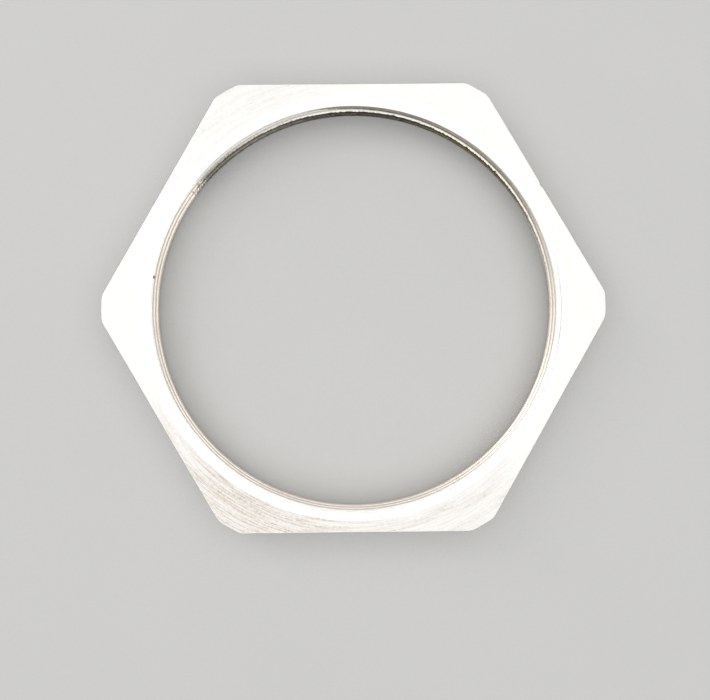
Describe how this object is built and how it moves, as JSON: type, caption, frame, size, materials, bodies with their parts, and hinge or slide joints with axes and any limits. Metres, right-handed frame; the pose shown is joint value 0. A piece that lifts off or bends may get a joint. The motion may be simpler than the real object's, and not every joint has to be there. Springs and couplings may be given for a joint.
{
  "type": "hex lock nut",
  "caption": "Thin hexagonal lock nut with a large fine-pitch threaded bore, countersunk at both faces, with its corners turned round.",
  "frame": {"origin": "on the thread axis at the underside, which is the face the nut lies on", "axes": "+Z along the thread axis out of the top face, +X through a corner, +Y through a flat"},
  "size_m": [0.0764, 0.068, 0.0055],
  "materials": {
    "nickel_plated_brass": "satin"
  },
  "bodies": {
    "root": {"lock_nut": "nickel_plated_brass"}
  },
  "joints": []
}
